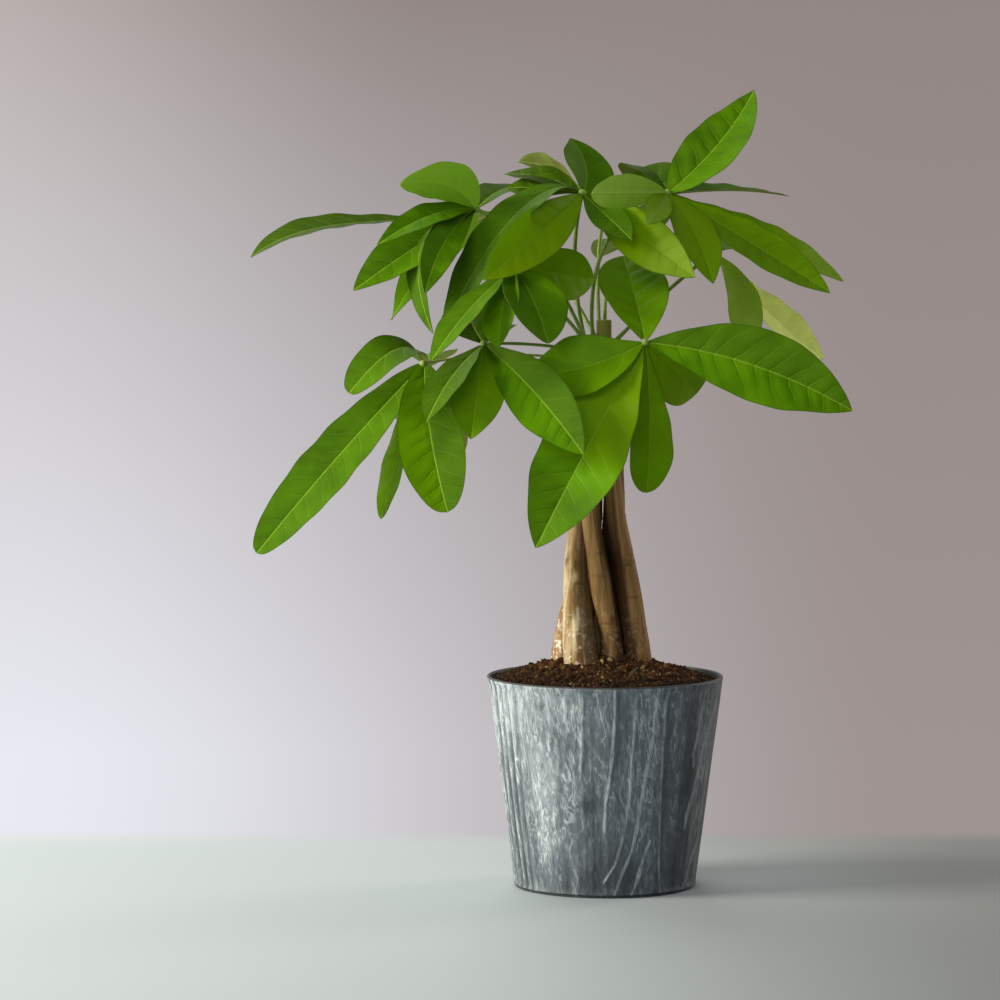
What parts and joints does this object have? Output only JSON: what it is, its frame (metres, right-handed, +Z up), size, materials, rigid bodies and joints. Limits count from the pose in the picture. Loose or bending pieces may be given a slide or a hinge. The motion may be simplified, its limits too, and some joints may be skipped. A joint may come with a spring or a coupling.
{
  "type": "potted money tree",
  "caption": "Potted money tree with a braided trunk and glossy palmate leaves on long stalks, standing in soil in a tapered grey pot with a worn zinc and wood-grain look",
  "frame": {"origin": "middle of the pot's foot, on the surface it stands on", "axes": "+Z up; the front that the picture shows faces -Y; +X is to the right in the picture"},
  "size_m": [0.3757, 0.3046, 0.5084],
  "materials": {
    "pot_shell": "worn grey zinc and wood-grain look, low upright ridges",
    "potting_soil": "loose, crumbly, dark red-brown",
    "bark": "smooth tan bark with leaf scars",
    "leaf": "satin green, paler veins, lets light through"
  },
  "bodies": {
    "root": {"pot": "pot_shell", "soil": "potting_soil", "stem_1": "bark", "stem_2": "bark", "stem_3": "bark", "stem_4": "bark", "stem_5": "bark", "leaf_a": "leaf", "leaf_b": "leaf", "leaf_c": "leaf", "leaf_d": "leaf", "leaf_e": "leaf", "leaf_f": "leaf", "leaf_g": "leaf", "leaf_h": "leaf", "leaf_i": "leaf", "leaf_j": "leaf", "leaf_k": "leaf", "leaf_l": "leaf", "leaf_m": "leaf", "leaf_n": "leaf"}
  },
  "joints": []
}
